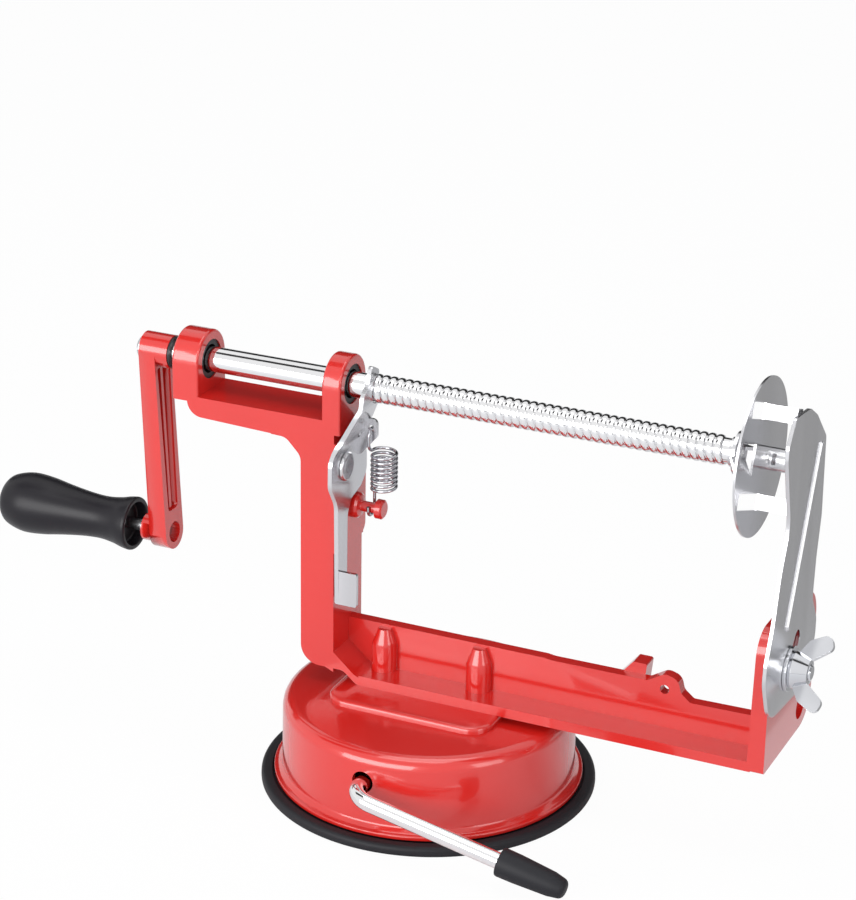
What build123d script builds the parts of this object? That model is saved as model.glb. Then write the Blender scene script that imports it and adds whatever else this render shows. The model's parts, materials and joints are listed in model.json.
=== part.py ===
"""Tornado potato cutter: a hand cranked screw shaft on a cast frame with a suction base.

Millimetres. +X runs along the screw shaft from the crank to the blade, +Y away from the user, +Z up.
The origin is the centre of the suction pad's flat underside, so z = 0 is the table.
"""

from build123d import *
import math
import os

# ---------------------------------------------------------------- driving dimensions (mm)
SHAFT_Z = 151.0          # height of the screw shaft above the table
PITCH = 3.0              # feed for one turn of the crank
THREAD_MEAN_R = 4.72     # mean radius of the rounded thread
THREAD_THROW = 0.58      # half the depth of the thread
PLAIN_R = 4.7            # plain part of the shaft
FEED = 120.0             # full travel of the shaft, 40 turns

FRONT_Y = -11.0          # the casting's front faces all lie here
BACK_Y = 14.0            # back of the upright
BOSS_R = 11.0            # half width of both shaft bosses
REAR_BOSS_X = (-100.8, -90.0)
FRONT_BOSS_X = (-39.7, -32.2)
FRONT_BOSS_LOW_Z = 134.5
BUSH_R = 7.4
BUSH_BORE_R = 5.4
UPRIGHT_X = (-47.9, -34.5)
PAD_FACE_X = -33.6       # raised face of the upright that carries the release lever
WEB_TOP_Z = 139.5
WEB_END_X = -94.5
FLOOR_Z = (36.8, 39.8)   # lower arm: underside and top of its floor
WALL_Y = (2.2, 6.5)      # lower arm: its upstanding wall
WALL_TOP_Z = 56.8
POST_X = 19.1            # screw posts, one each side of the base's centre
POST_Y = 1.0
POST_R = 4.8

PLATE_X = (126.6, 133.0)  # end plate that carries the blade arm
PLATE_TOP_X = 127.8
PLATE_Y = (-11.0, 41.5)
PLATE_TOP_Z = 90.0
ARM_BOLT_Y = 6.5
ARM_BOLT_Z = 71.0
SPARE_HOLE = (29.0, 45.5)

BASE_R = 54.6            # drum wall
BASE_TOP_Z = 34.3
BASE_WALL = 2.6
FLANGE_R = 57.6
PAD_R = 62.5             # rubber suction pad
PAD_RIM_H = 4.0

HUB_X = (-117.3, -105.6)  # crank: hub on the shaft
HUB_R = 6.3
CRANK_REACH = 72.7       # shaft axis to grip axis
CRANK_END_R = 6.6        # half width of the arm
ARM_TOP_X = (-117.2, -110.6)  # the arm leans: its faces at the shaft's axis
ARM_LOW_X = (-114.1, -106.9)  # and at the grip's axis
PIN_RECESS = 4.2         # depth of the pin's head below the arm's face

LEVER_PIVOT_Y = -6.5     # thread release lever
LEVER_PIVOT_Z = 121.5
LEVER_T = 1.6
LEVER_TIP_X = -22.9      # mid plane of the lever's hook, in a groove of the thread

STUD_Y = 4.0             # cast stud that holds the spring's lower hook
STUD_Z = 102.2
SPRING_X = -22.0
SPRING_Y = 5.2
SPRING_R = 4.5           # mean radius of the coil
SPRING_WIRE_R = 0.6
SPRING_TURNS = 8
SPRING_PITCH = 1.82

ROD_X = -1.5             # suction lever: the rod's axis through the drum
ROD_Z = 22.5
ROD_R = 3.0
ROD_HOLE_R = 4.1         # hole in the drum's wall, a little above the rod's axis
ROD_HOLE_Z = 23.0
ROD_BEND_Y = -64.5
ROD_BEND_R = 8.0
ROD_DROOP = 11.5         # degrees below level at rest
ROD_REACH = 83.0
CAM_THROW = 1.6

EAR_HOLE_Z = 133.6       # hole in the lever's ear for the upper hook
HOOK_R = 2.8
COIL_Z = 110.1           # lower end of the coil
QUARTER = math.sqrt(0.5)

FORK_X = (113.2, 114.4)  # plate of the potato fork
PRONG_TIP_X = 117.4

DISC_X = 121.5           # blade disc
DISC_R = 28.0
DISC_T = 0.8
BLADE_TURN = 20.5        # degrees that the blade's layout is turned about the shaft
STRAP_Y = (-5.0, 4.6)    # upper and lower strap, in the blade's own layout
CORE_TUBE_R = 4.1
CORE_TUBE_END_X = 131.5
ARM_X = (133.1, 134.5)   # blade arm sheet, against the end plate
ARM_SLOT_TURN = 46.0     # degrees above level that the arm's slot runs from the bolt
WING_TURN = -34.0        # degrees that the wing nut stands turned


# ---------------------------------------------------------------- helpers
def along_x(radius, x0, x1, y=0.0, z=SHAFT_Z):
    """A cylinder parallel to X from x0 to x1."""
    return extrude(Plane(origin=(x0, y, z), x_dir=(0, 1, 0), z_dir=(1, 0, 0)) * Circle(radius), x1 - x0)


def along_y(radius, y0, y1, x, z):
    """A cylinder parallel to Y from y0 to y1."""
    return extrude(Plane(origin=(x, y0, z), x_dir=(-1, 0, 0), z_dir=(0, 1, 0)) * Circle(radius), y1 - y0)


def along_z(radius, z0, z1, x=0.0, y=0.0):
    """A cylinder parallel to Z from z0 to z1."""
    return extrude(Plane.XY.offset(z0) * (Pos(x, y) * Circle(radius)), z1 - z0)


def block(x0, x1, y0, y1, z0, z1):
    """A box between two corners."""
    return Pos((x0 + x1) / 2, (y0 + y1) / 2, (z0 + z1) / 2) * Box(x1 - x0, y1 - y0, z1 - z0)


def rounded(points, radii):
    """A face whose corners have the given radii; a radius of 0 keeps a sharp corner."""
    flat = make_face(Polyline(*points, close=True))
    for point, radius in zip(points, radii):
        if radius:
            corner = flat.vertices().sort_by_distance(Vector(*point, 0))[0]
            flat = fillet(corner, radius)
    return flat


def plate_xz(points, radii, y0, y1):
    """An outline in (x, z) drawn out along Y from y0 to y1."""
    return extrude(Plane(origin=(0, y1, 0), x_dir=(1, 0, 0), z_dir=(0, -1, 0)) * rounded(points, radii), y1 - y0)


def plate_yz(points, radii, x0, x1):
    """An outline in (y, z) drawn out along X from x0 to x1."""
    return extrude(Plane(origin=(x0, 0, 0), x_dir=(0, 1, 0), z_dir=(1, 0, 0)) * rounded(points, radii), x1 - x0)


def revolved_x(points, y=0.0, z=SHAFT_Z):
    """A profile of (x, radius) points turned about a line parallel to X."""
    flat = make_face(Polyline(*points, close=True))
    return Pos(0, y, z) * revolve(Plane.XY * flat, Axis.X)


# ---------------------------------------------------------------- the cast frame
def boss(x0, x1, bottom_z):
    """One arch shaped shaft boss."""
    arch = along_x(BOSS_R, x0, x1) + block(x0, x1, -BOSS_R, BOSS_R, bottom_z, SHAFT_Z)
    rims = arch.edges().filter_by(GeomType.CIRCLE)
    return fillet(rims, 1.0) - along_x(BUSH_R, x0 - 1, x1 + 1)


def spring_stud():
    """The cast stud on the upright: wide foot, thin neck, round head."""
    profile = [(PAD_FACE_X - 1, 0), (PAD_FACE_X - 1, 5.0), (-31.4, 4.8), (-30.6, 4.0), (-30.2, 2.0),
               (-24.2, 2.0), (-23.9, 3.7), (-21.8, 3.7), (-21.2, 2.9), (-21.2, 0)]
    return revolved_x(profile, STUD_Y, STUD_Z)


def screw_post(x):
    """A half round post with a pointed top, bored from below for a screw."""
    profile = [(0, FLOOR_Z[0]), (POST_R, FLOOR_Z[0]), (POST_R, 50.0), (2.4, 56.2), (0, 56.2)]
    turned = Pos(x, POST_Y, 0) * revolve(Plane.XZ * make_face(Polyline(*profile, close=True)), Axis.Z)
    return turned


def end_plate():
    """The tapered plate at the blade end, with its bolt hole and a spare hole."""
    side = plate_xz([(PLATE_X[0], FLOOR_Z[0]), (PLATE_X[1], FLOOR_Z[0]), (PLATE_X[1], PLATE_TOP_Z),
                     (PLATE_TOP_X, PLATE_TOP_Z)], [0, 0, 0, 0], *PLATE_Y)
    outline = plate_yz([(PLATE_Y[0], FLOOR_Z[0]), (PLATE_Y[1], FLOOR_Z[0]), (PLATE_Y[1], PLATE_TOP_Z),
                        (PLATE_Y[0], PLATE_TOP_Z)], [0.8, 12, 13, 9], PLATE_X[0] - 1, PLATE_X[1] + 1)
    plate = side & outline
    plate -= along_x(3.2, 120, 140, ARM_BOLT_Y, ARM_BOLT_Z)
    plate -= along_x(8.2, 120, PLATE_TOP_X - 0.5, ARM_BOLT_Y, ARM_BOLT_Z)
    plate -= along_x(4.8, 120, 140, *SPARE_HOLE)
    return plate


def frame():
    """The whole red casting: two bosses, web, upright, lower arm, posts, ears, stud and end plate."""
    web = plate_xz([(WEB_END_X, 132.0), (-54.0, 130.6), (UPRIGHT_X[0], 130.6), (UPRIGHT_X[1], 130.6),
                    (UPRIGHT_X[1], WEB_TOP_Z), (WEB_END_X, WEB_TOP_Z)], [6, 0, 0, 0, 0, 0], FRONT_Y, -FRONT_Y)
    upright = plate_xz([(UPRIGHT_X[0], 41.5), (-38.0, 41.5), (UPRIGHT_X[1], 40.0), (UPRIGHT_X[1], WEB_TOP_Z),
                        (UPRIGHT_X[0], WEB_TOP_Z)], [7.5, 0, 0, 0, 0], FRONT_Y, BACK_Y)
    gusset = plate_xz([(-60.0, 133), (-60.0, 130.6), (-54, 130.4), (UPRIGHT_X[0], 124), (UPRIGHT_X[0], 118),
                       (-44, 118), (-44, 133)], [0, 0, 5, 5, 0, 0, 0], FRONT_Y, -FRONT_Y)
    body = web + upright + gusset
    body += boss(*REAR_BOSS_X, 137.4)
    body += boss(*FRONT_BOSS_X, FRONT_BOSS_LOW_Z)
    # the raised pad under the release lever, and the hollow below it
    body += plate_yz([(FRONT_Y, 88.0), (BACK_Y, 88.0), (BACK_Y, 131.0), (FRONT_Y, 131.0)], [0, 4, 0, 0],
                     UPRIGHT_X[1] - 0.5, PAD_FACE_X)
    body -= plate_yz([(5.0, 44.0), (BACK_Y + 1, 44.0), (BACK_Y + 1, 87.0), (5.0, 87.0)], [0, 0, 0, 3],
                     UPRIGHT_X[1] - 0.6, UPRIGHT_X[1] + 1)
    body += spring_stud()
    # the lower arm is an angle: a floor and a wall
    floor = plate_xz([(-38.0, 41.5), (-30.5, 41.5), (-25.0, FLOOR_Z[0]), (128.0, FLOOR_Z[0]), (128.0, FLOOR_Z[1]),
                      (-25.0, FLOOR_Z[1]), (-34.9, 48.5), (-38.0, 48.5)], [0, 4, 4, 0, 0, 6, 2, 0],
                     FRONT_Y, WALL_Y[1])
    wall = plate_xz([(-36.0, 40.0), (-25.0, FLOOR_Z[0]), (128.0, FLOOR_Z[0]), (128.0, 52.0), (100.5, 51.6),
                     (96.8, 54.6), (95.6, 59.5), (90.6, 61.0), (84.0, 57.0), (47.0, WALL_TOP_Z),
                     (44.0, WALL_TOP_Z + 0.4), (-36.0, WALL_TOP_Z + 0.4)],
                    [0, 0, 0, 0, 1.5, 3, 4, 4, 1.5, 1, 1, 0], *WALL_Y)
    rim = block(-24.0, 128.0, FRONT_Y, FRONT_Y + 1.3, FLOOR_Z[1] - 0.5, FLOOR_Z[1] + 0.8)
    hook = plate_xz([(70.5, 53.5), (81.5, 53.5), (82.3, 61.2), (77.0, 61.2)], [0, 0, 0.8, 0.8], 6.0, 13.0)
    body += floor + wall + rim + hook
    for x in (-POST_X, POST_X):
        body += screw_post(x)
    body -= along_y(1.75, 0, 9, 90.6, 54.8)
    body += end_plate()
    for x in (-POST_X, POST_X):
        body -= along_z(1.9, 30, 52.0, x, POST_Y)
    body -= along_x(3.0, -44.0, PAD_FACE_X + 1, LEVER_PIVOT_Y, LEVER_PIVOT_Z)
    return body


def bush(x0, x1):
    """A nylon bush with a thin inner lip."""
    ring = along_x(BUSH_R, x0 + 0.6, x1 - 0.6) - along_x(BUSH_BORE_R, x0 - 1, x1 + 1)
    return ring


# ---------------------------------------------------------------- the suction base
def base_housing():
    """The red drum: open below, with a raised pad on top and two ribs that carry the lever rod."""
    profile = [(0, BASE_TOP_Z), (0, BASE_TOP_Z - BASE_WALL), (BASE_R - BASE_WALL - 3, BASE_TOP_Z - BASE_WALL),
               (BASE_R - BASE_WALL, BASE_TOP_Z - BASE_WALL - 3), (BASE_R - BASE_WALL, PAD_RIM_H),
               (FLANGE_R, PAD_RIM_H), (FLANGE_R, PAD_RIM_H + 1.6), (BASE_R + 1.2, PAD_RIM_H + 1.9),
               (BASE_R + 0.5, PAD_RIM_H + 3), (BASE_R, BASE_TOP_Z - 3.5), (BASE_R - 1.0, BASE_TOP_Z - 1.1),
               (BASE_R - 3.5, BASE_TOP_Z)]
    drum = revolve(Plane.XZ * make_face(Polyline(*profile, close=True)), Axis.Z)
    pad = extrude(Plane.XY.offset(BASE_TOP_Z - 0.5) * RectangleRounded(65, 50, 9), FLOOR_Z[0] - BASE_TOP_Z + 0.5)
    drum += chamfer(pad.faces().sort_by(Axis.Z)[-1].edges(), 0.8)
    for y in (-9.8, 6.6):
        drum += block(-17, 14, y, y + 3.2, 13.5, BASE_TOP_Z - BASE_WALL + 0.5)
    drum -= along_y(ROD_R + 0.1, -BASE_R - 2, 12, ROD_X, ROD_Z)
    drum -= along_y(ROD_HOLE_R, -BASE_R - 2, -BASE_R + 8, ROD_X, ROD_HOLE_Z)
    for x in (-POST_X, POST_X):
        drum -= along_z(2.3, 20, 40, x, POST_Y)
    return drum


def suction_pad():
    """The rubber pad: flat underside, thick rim that the drum stands on, raised centre."""
    profile = [(0, 0), (PAD_R - 0.8, 0), (PAD_R, 0.8), (PAD_R, PAD_RIM_H - 0.8), (PAD_R - 0.8, PAD_RIM_H),
               (48, PAD_RIM_H), (46, 2.4), (15, 2.4), (13, 6.0), (0, 6.0)]
    return revolve(Plane.XZ * make_face(Polyline(*profile, close=True)), Axis.Z)


def pad_stud():
    """The stud that lifts the pad's centre: a plate, a stem, and an eye that the lever's cam turns in."""
    cam_z = ROD_Z - CAM_THROW
    stud = along_z(12.0, 6.0, 7.6, ROD_X, 0) + along_z(4.0, 7.0, 15.5, ROD_X, 0)
    stud += block(ROD_X - 8.3, ROD_X + 8.3, -6.0, 6.0, 14.0, 28.0)
    eye = plate_xz([(ROD_X - 6.2, cam_z - 5.0), (ROD_X + 6.2, cam_z - 5.0), (ROD_X + 6.2, cam_z + 5.0),
                    (ROD_X - 6.2, cam_z + 5.0)], [1.5] * 4, -7, 7)
    return stud - eye


def suction_lever():
    """The bent steel rod with the cam on its inner end."""
    slope = math.radians(ROD_DROOP)
    inner = (ROD_X, 13.0, ROD_Z)
    corner = (ROD_X, ROD_BEND_Y, ROD_Z)
    tip = (ROD_X + ROD_REACH * math.cos(slope), ROD_BEND_Y, ROD_Z - ROD_REACH * math.sin(slope))
    path = FilletPolyline(inner, corner, tip, radius=ROD_BEND_R)
    rod = sweep(Plane(origin=inner, x_dir=(1, 0, 0), z_dir=(0, -1, 0)) * Circle(ROD_R), path)
    cam = along_y(4.5, -5.6, 5.6, ROD_X, ROD_Z - CAM_THROW)
    groove = along_y(ROD_R + 1, 10.9, 11.9, ROD_X, ROD_Z) - along_y(ROD_R - 0.6, 10.9, 11.9, ROD_X, ROD_Z)
    return rod + cam - groove


def rod_frame():
    """A plane at the rod's free end, its z axis pointing back up the rod."""
    slope = math.radians(ROD_DROOP)
    tip = (ROD_X + ROD_REACH * math.cos(slope), ROD_BEND_Y, ROD_Z - ROD_REACH * math.sin(slope))
    return Plane(origin=tip, x_dir=(0, 1, 0), z_dir=(-math.cos(slope), 0, math.sin(slope)))


def lever_tip():
    """The black rubber sleeve on the rod's free end."""
    profile = [(0, -1.6), (2.2, -1.5), (3.7, -0.4), (4.2, 1.4), (5.2, 17.0), (5.3, 22.8), (4.5, 23.8), (3.2, 23.8),
               (ROD_R, 23.6), (ROD_R, 0), (0, 0)]
    return rod_frame() * revolve(Plane.XZ * make_face(Polyline(*profile, close=True)), Axis.Z)


def rod_clip():
    """The spring clip that keeps the rod in the drum."""
    ring = along_y(6.0, 11.0, 11.8, ROD_X, ROD_Z) - along_y(ROD_R - 0.5, 10, 13, ROD_X, ROD_Z)
    return ring - block(ROD_X - 1.6, ROD_X + 1.6, 10, 13, ROD_Z - 8, ROD_Z)


def frame_screw(x):
    """A pan head screw that goes up through the drum's top into a post."""
    top = BASE_TOP_Z - BASE_WALL
    head = chamfer((along_z(4.2, top - 2.8, top, x, POST_Y)).edges().sort_by(Axis.Z)[0], 0.9)
    cross = block(x - 2.4, x + 2.4, POST_Y - 0.5, POST_Y + 0.5, top - 4, top - 1.6)
    cross += block(x - 0.5, x + 0.5, POST_Y - 2.4, POST_Y + 2.4, top - 4, top - 1.6)
    return head + along_z(1.9, top - 0.5, 50.0, x, POST_Y) - cross


# ---------------------------------------------------------------- shaft, crank and grip
def thread_section(turns):
    """One cross section of the rounded thread: a circle whose centre runs round the axis once a turn."""
    x = LEVER_TIP_X + turns * PITCH
    angle = 2 * math.pi * turns
    centre = (x, THREAD_THROW * math.cos(angle), SHAFT_Z + THREAD_THROW * math.sin(angle))
    return Plane(origin=centre, x_dir=(0, 1, 0), z_dir=(1, 0, 0)) * Circle(THREAD_MEAN_R)


def screw_shaft():
    """Plain from the crank to the front boss, then a right-hand rounded thread to the blade."""
    first, last, per_turn = -0.75, 44.75, 4
    steps = round((last - first) * per_turn)
    thread = loft([thread_section(first + i / per_turn) for i in range(steps + 1)], ruled=True)
    x_first = LEVER_TIP_X + first * PITCH
    x_last = LEVER_TIP_X + last * PITCH
    plain = along_x(PLAIN_R, HUB_X[0] + 0.4, x_first)
    end = along_x(3.4, x_last, FORK_X[1])
    return plain + thread + end - along_x(2.2, HUB_X[0] - 1, HUB_X[0] + 14)


def potato_fork():
    """A steel ferrule and plate on the shaft's end, with four prongs that drive the potato round."""
    x_last = LEVER_TIP_X + 44.75 * PITCH
    x0, x1 = FORK_X
    fork = along_x(5.2, x_last + 0.05, x1) + along_x(7.6, x0, x1) - along_x(3.4, x_last - 1, x1 + 1)
    for i in range(4):
        prong = plate_xz([(x1 - 0.1, 4.6), (PRONG_TIP_X, 5.6), (PRONG_TIP_X, 6.1), (x1 - 0.1, 7.1)], [0] * 4, -0.6, 0.6)
        fork += Pos(0, 0, SHAFT_Z) * (Rot(90 * i, 0, 0) * prong)
    return fork


def crank_arm():
    """The cast crank: hub, leaning arm with a long pocket and a rib, and a boss that carries the grip's pin."""
    low_z = SHAFT_Z - CRANK_REACH
    lean = (ARM_LOW_X[1] - ARM_TOP_X[1]) / CRANK_REACH
    side = math.asin((HUB_R - CRANK_END_R) / CRANK_REACH)
    dy, dz = math.cos(side), math.sin(side)
    outline = plate_yz([(-HUB_R * dy, SHAFT_Z - HUB_R * dz), (-CRANK_END_R * dy, low_z - CRANK_END_R * dz),
                        (CRANK_END_R * dy, low_z - CRANK_END_R * dz), (HUB_R * dy, SHAFT_Z - HUB_R * dz)], [0] * 4,
                       -125, -100)
    outline += along_x(HUB_R, -125, -100) + along_x(CRANK_END_R, -125, -100, 0, low_z)
    top, low = 12.0, -9.0
    slab = plate_xz([(ARM_TOP_X[0] - lean * top, SHAFT_Z + top), (ARM_TOP_X[1] - lean * top, SHAFT_Z + top),
                     (ARM_LOW_X[1] - lean * low, low_z + low), (ARM_LOW_X[0] - lean * low, low_z + low)], [0] * 4, -12, 12)
    arm = slab & outline
    deep, face = 2.4, 4.0
    hollow = plate_xz([(ARM_TOP_X[1] - deep, SHAFT_Z), (ARM_TOP_X[1] + face, SHAFT_Z), (ARM_LOW_X[1] + face, low_z),
                       (ARM_LOW_X[1] - deep, low_z)], [0] * 4, -12, 12)
    pocket = plate_yz([(-4.7, SHAFT_Z - 6.0), (-3.5, low_z + 9.2), (3.5, low_z + 9.2), (4.7, SHAFT_Z - 6.0)],
                      [0.8, 1.5, 1.5, 0.8], -125, -100)
    rib = plate_yz([(-0.8, SHAFT_Z - 5.0), (-0.8, low_z + 8.0), (0.8, low_z + 8.0), (0.8, SHAFT_Z - 5.0)], [0] * 4,
                   -125, -100)
    low_rib = plate_xz([(ARM_TOP_X[1] - deep - 1, SHAFT_Z), (ARM_TOP_X[1] - 1.1, SHAFT_Z), (ARM_LOW_X[1] - 1.1, low_z),
                        (ARM_LOW_X[1] - deep - 1, low_z)], [0] * 4, -12, 12)
    arm -= hollow & pocket
    arm += rib & low_rib
    arm += along_x(HUB_R, *HUB_X)
    arm -= along_x(HUB_R + 3, HUB_X[0] - 5, HUB_X[0])
    arm += along_x(5.2, ARM_LOW_X[0] - 4.8, ARM_LOW_X[0] + 1, 0, low_z)
    arm -= along_x(PLAIN_R, HUB_X[0] + 0.4, HUB_X[1] + 1)
    arm -= along_x(2.6, HUB_X[0] - 1, HUB_X[0] + 1)
    arm -= along_x(2.5, ARM_LOW_X[0] - 9, ARM_LOW_X[1] + 1, 0, low_z)
    arm -= along_x(4.0, ARM_LOW_X[1] - PIN_RECESS, ARM_LOW_X[1] + 2, 0, low_z)
    return arm


def crank_screw():
    """The screw and its wide head that pull the crank onto the shaft's end."""
    x0 = HUB_X[0]
    head = revolved_x([(x0, 0), (x0, 5.2), (x0 - 0.8, 5.2), (x0 - 2.2, 3.6), (x0 - 2.6, 0)])
    slot = block(x0 - 4, x0 - 1.5, -6, 6, SHAFT_Z - 0.6, SHAFT_Z + 0.6)
    return head + along_x(2.2, x0 - 0.5, x0 + 13) - slot


def handle_pin():
    """The steel pin through the grip, riveted over in the crank and headed at the grip's far end."""
    z = SHAFT_Z - CRANK_REACH
    seat = ARM_LOW_X[1] - PIN_RECESS
    return (along_x(2.5, -180.2, seat + 0.6, 0, z) + along_x(3.9, seat, seat + 0.9, 0, z)
            + revolved_x([(-180.2, 0), (-180.2, 3.6), (-181.8, 3.4), (-183.2, 2.2), (-184.0, 0)], 0, z))


def handle_grip():
    """The black grip: bulb, waist and flared collar, bored for its pin."""
    z = SHAFT_Z - CRANK_REACH
    line = Spline((-180.8, 6.0), (-176.8, 10.1), (-170.0, 11.7), (-160.5, 10.9), (-149.0, 8.9), (-138.5, 8.2),
                  (-131.5, 9.0), (-126.8, 10.2), tangents=[(0.25, 1, 0), (1, 0.2, 0)])
    outline = Polyline((-126.8, 10.2), (-124.6, 10.3), (-123.6, 9.6), (-120.6, 9.2), (-120.2, 8.4), (-120.2, 2.6),
                       (-180.1, 2.6), (-180.1, 4.2), (-180.8, 4.2), (-180.8, 6.0))
    flat = make_face([line, *outline.edges()])
    return Pos(0, 0, z) * revolve(Plane.XY * flat, Axis.X)


def stop_washer():
    """The black washer that rides on the shaft against the crank's hub."""
    x0 = HUB_X[1]
    return along_x(5.9, x0, x0 + 0.8) - along_x(PLAIN_R + 0.05, x0 - 1, x0 + 3)


# ---------------------------------------------------------------- thread release lever and its spring
def release_lever():
    """The pressed steel lever: hook at the shaft, round middle, ear for the spring, thumb tab below."""
    x0 = PAD_FACE_X + 0.1
    tip0 = LEVER_TIP_X - LEVER_T / 2
    sheet = plate_xz([(x0, 60), (x0 + LEVER_T, 60), (x0 + LEVER_T, 129.2), (tip0 + LEVER_T, 146.6),
                      (tip0 + LEVER_T, 165), (tip0, 165), (tip0, 147.2), (x0, 129.8)],
                     [0, 0, 6, 6, 0, 0, 6, 6], -30, 30)
    low = plate_yz([(-12.0, 69.5), (-5.0, 69.5), (-4.7, 102.5), (-1.5, 107.0), (6.5, 109.2), (11.2, 113.5),
                    (11.2, 121.5), (7.6, 130.0), (6.6, 136.5), (1.5, 145.6), (-4.6, 147.0), (-4.6, 155.0), (0.3, 155.0),
                    (0.3, 158.4), (-5.0, 161.2), (-6.8, 158.2), (-8.2, 154.8), (-12.4, 151.4), (-13.4, 143.0),
                    (-12.6, 131.5), (-17.8, 126.0), (-18.0, 116.5), (-12.8, 108.0)],
                   [0, 0, 8, 3, 5, 5, 9, 6, 8, 0, 0, 0, 0.6, 1.6, 1.5, 3, 3, 5, 12, 7, 5, 5, 8], -40, -10)
    # the notch is as wide as the shaft's way through it when the lever tilts
    notch = along_x(5.65, -40, -10)
    for y, z in ((1.55, 150.62), (3.05, 150.16), (4.6, 149.6)):
        notch += along_x(5.5, -40, -10, y, z)
    lever = sheet & (low - notch)
    # a single tooth that stands in the thread's groove
    tooth = block(LEVER_TIP_X - 0.45, LEVER_TIP_X + 0.45, -6.4, -4.6, SHAFT_Z - 1.3, SHAFT_Z + 1.3)
    lever += tooth - along_x(4.78, -40, -10)
    # the ear is folded towards the blade, the thumb tab too
    ear = plate_xz([(x0 + 0.4, 122.5), (x0 + 2.6, 122.5), (-24.2, 130.6), (-24.2, 137.2), (-29.0, 137.2), (-31.2, 129.4),
                    (x0 + 0.4, 128.4)], [0, 3, 2, 2, 2.2, 0, 0], 3.4, 4.8)
    ear -= along_y(1.2, 0, 9, -26.5, EAR_HOLE_Z)
    tab = plate_xz([(x0, 68.6), (-24.6, 68.6), (-24.6, 81.8), (x0, 81.8)], [0.8, 1, 1, 0], -12.0, -10.6)
    lever += ear + tab
    lever -= along_x(3.05, -40, -20, LEVER_PIVOT_Y, LEVER_PIVOT_Z)
    return lever


def lever_rivet():
    """The rivet that the release lever turns on, pressed into the upright."""
    x = PAD_FACE_X + 0.1 + LEVER_T + 0.1
    dome = revolved_x([(x, 0), (x, 5.6), (x + 0.7, 5.4), (x + 1.5, 4.4), (x + 1.9, 0)], LEVER_PIVOT_Y, LEVER_PIVOT_Z)
    return dome + along_x(3.0, -44.0, x + 0.5, LEVER_PIVOT_Y, LEVER_PIVOT_Z)


def spring_path():
    """The spring's wire: hook round the stud, eight turns in half turn arcs, hook through the ear."""
    left = SPRING_X - SPRING_R
    low_y, high_y = STUD_Y - HOOK_R, STUD_Y + HOOK_R
    ear_z = EAR_HOLE_Z - HOOK_R
    z_end = COIL_Z + SPRING_TURNS * SPRING_PITCH
    bend = high_y - SPRING_Y
    rise = SPRING_Y - low_y
    edges = [
        Line((left, low_y, STUD_Z + 1.2), (left, low_y, STUD_Z)),
        ThreePointArc((left, low_y, STUD_Z), (left, STUD_Y, STUD_Z - HOOK_R), (left, high_y, STUD_Z)),
        Line((left, high_y, STUD_Z), (left, high_y, COIL_Z - bend)),
        ThreePointArc((left, high_y, COIL_Z - bend),
                      (left, SPRING_Y + bend * QUARTER, COIL_Z - bend + bend * QUARTER), (left, SPRING_Y, COIL_Z)),
    ]
    for half in range(2 * SPRING_TURNS):
        edges.append(ThreePointArc(*[coil_point(half + step) for step in (0, 0.5, 1)]))
    edges += [
        ThreePointArc((left, SPRING_Y, z_end),
                      (left, SPRING_Y - rise * QUARTER, z_end + rise - rise * QUARTER), (left, low_y, z_end + rise)),
        Line((left, low_y, z_end + rise), (left, low_y, ear_z)),
        ThreePointArc((left, low_y, ear_z), (left, STUD_Y, EAR_HOLE_Z), (left, high_y, ear_z)),
        Line((left, high_y, ear_z), (left, high_y, ear_z - 1.2)),
    ]
    return edges


def coil_point(half_turns):
    """A point of the coil, counted in half turns from its lower end."""
    angle = math.pi * (1 + half_turns)
    return Vector(SPRING_X + SPRING_R * math.cos(angle), SPRING_Y + SPRING_R * math.sin(angle),
                  COIL_Z + SPRING_PITCH * half_turns / 2)


def release_spring():
    """The extension spring that pulls the lever's hook into the thread."""
    edges = spring_path()
    start = edges[0].position_at(0)
    wire = sweep(Plane(origin=start, x_dir=(1, 0, 0), z_dir=(0, 0, -1)) * Circle(SPRING_WIRE_R), Wire(edges))
    steps = 24
    coil = [coil_point(i * 2 / steps) for i in range(SPRING_TURNS * steps + 1)]
    gap = min((a - b).length for i, a in enumerate(coil) for b in coil[i + steps // 2:]) - 2 * SPRING_WIRE_R
    print(f"release_spring: least gap between turns {gap:.2f} mm, wire volume {wire.volume:.1f} mm3, "
          f"section times length {math.pi * SPRING_WIRE_R ** 2 * sum(e.length for e in edges):.1f} mm3")
    return wire


# ---------------------------------------------------------------- blade, its arm and the clamp
def turned(part):
    """The blade's own layout is turned about the shaft's axis."""
    return Pos(0, 0, SHAFT_Z) * (Rot(-BLADE_TURN, 0, 0) * part)


def blade_disc():
    """The thin steel disc: centre hole, cutting slot with its lip, two windows and two straps folded back."""
    x0, x1 = DISC_X - DISC_T / 2, DISC_X + DISC_T / 2
    disc = along_x(DISC_R, x0, x1, 0, 0) - along_x(CORE_TUBE_R, x0 - 1, x1 + 1, 0, 0)
    for y, sign in zip(STRAP_Y, (1, -1)):
        near, far = sorted((12.7 * sign, 18.5 * sign))
        disc -= block(x0 - 1, x1 + 1, -19.5, y, near, far)
    disc -= block(x0 - 1, x1 + 1, -25.2, -8.8, -7.0, 4.2)
    lip = plate_xz([(x0, -7.4), (x1, -7.0), (x1 - 3.4, -0.6), (x1 - 3.8, -1.0)], [0] * 4, -25.0, -9.0)
    disc += lip
    for y, sign in zip(STRAP_Y, (1, -1)):
        near, far = sorted((12.9 * sign, 18.3 * sign))
        strap = block(x0, ARM_X[0], y, y + DISC_T, near, far)
        foot = block(ARM_X[0] - DISC_T, ARM_X[0], y, y + 6.0, near, far)
        disc += strap + foot
    return turned(disc)


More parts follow.
